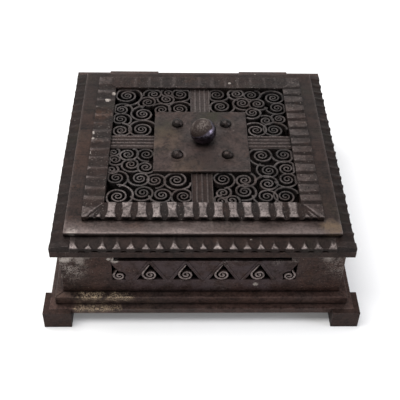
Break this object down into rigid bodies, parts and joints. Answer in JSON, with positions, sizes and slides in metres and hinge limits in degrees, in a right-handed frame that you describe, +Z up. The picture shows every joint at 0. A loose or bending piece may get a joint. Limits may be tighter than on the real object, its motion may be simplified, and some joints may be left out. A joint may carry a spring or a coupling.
{
  "type": "foot warmer",
  "caption": "Square box foot warmer of hammered wrought iron on block feet, with a hinged lid of iron scrolls, a ball knob, front vents and an ember pan inside.",
  "frame": {"origin": "middle of the square footprint, on the ground under the feet", "axes": "+Z up, +X to the right of someone who faces the vented front, front towards -Y, hinge along the back at +Y"},
  "size_m": [0.3276, 0.3276, 0.1447],
  "materials": {
    "hammered_iron": "hammered, dark, waxed",
    "dark_iron": "dark forge scale",
    "worn_iron": "worn smooth by use",
    "sheet_iron": "sooty rolled sheet"
  },
  "bodies": {
    "box": {"foot_front_left": "hammered_iron", "foot_front_right": "hammered_iron", "foot_back_left": "hammered_iron", "foot_back_right": "hammered_iron", "foot_rivets": "dark_iron", "base_frame": "hammered_iron", "plinth_bar_front": "hammered_iron", "plinth_bar_back": "hammered_iron", "plinth_bar_left": "hammered_iron", "plinth_bar_right": "hammered_iron", "floor_plate": "sheet_iron", "front_wall": "hammered_iron", "back_wall": "hammered_iron", "left_wall": "hammered_iron", "right_wall": "hammered_iron", "corner_angles": "dark_iron", "frieze_panel": "hammered_iron", "frieze_scrolls": "worn_iron", "frieze_straps": "dark_iron", "hinge_rail": "hammered_iron", "rail_rivets": "dark_iron", "rail_hinge_leaves": "dark_iron", "hinge_pins": "worn_iron", "pan_bearers": "dark_iron"},
    "lid": {"rim_bar_front": "hammered_iron", "rim_bar_back": "hammered_iron", "rim_bar_left": "hammered_iron", "rim_bar_right": "hammered_iron", "hammered_bar_front": "hammered_iron", "hammered_bar_left": "hammered_iron", "hammered_bar_right": "hammered_iron", "lid_back_bar": "hammered_iron", "lid_rivets": "dark_iron", "band_frame": "worn_iron", "inner_frame_front": "hammered_iron", "inner_frame_back": "hammered_iron", "inner_frame_left": "hammered_iron", "inner_frame_right": "hammered_iron", "cross_bar_front": "hammered_iron", "cross_bar_back": "hammered_iron", "cross_bar_left": "hammered_iron", "cross_bar_right": "hammered_iron", "scroll_grille_back_left": "hammered_iron", "scroll_grille_back_right": "hammered_iron", "scroll_grille_front_left": "hammered_iron", "scroll_grille_front_right": "hammered_iron", "centre_plate": "worn_iron", "backing_plate": "dark_iron", "dome_rivets": "hammered_iron", "ball_knob": "hammered_iron", "knob_stud": "dark_iron", "knob_nut": "dark_iron", "knob_washer": "dark_iron", "lid_hinge_leaves": "dark_iron"},
    "pan": {"ember_pan": "sheet_iron", "pan_ears": "dark_iron"},
    "left_handle": {"pan_handle_left": "hammered_iron"},
    "right_handle": {"pan_handle_right": "hammered_iron"}
  },
  "joints": [
    {"name": "lid_hinge", "type": "hinge", "parent": "box", "child": "lid", "pos_m": [0, 0.1428, 0.1056], "axis": [-1, 0, 0], "range_deg": [0, 127]},
    {"name": "pan_lift", "type": "slide", "parent": "box", "child": "pan", "axis": [0, 0, 1], "range_m": [0, 0.015]},
    {"name": "left_handle_pivot", "type": "hinge", "parent": "pan", "child": "left_handle", "pos_m": [-0.1125, 0, 0.0575], "axis": [0, 1, 0], "range_deg": [0, 150]},
    {"name": "right_handle_pivot", "type": "hinge", "parent": "pan", "child": "right_handle", "pos_m": [0.1125, 0, 0.0575], "axis": [0, -1, 0], "range_deg": [0, 150]}
  ]
}
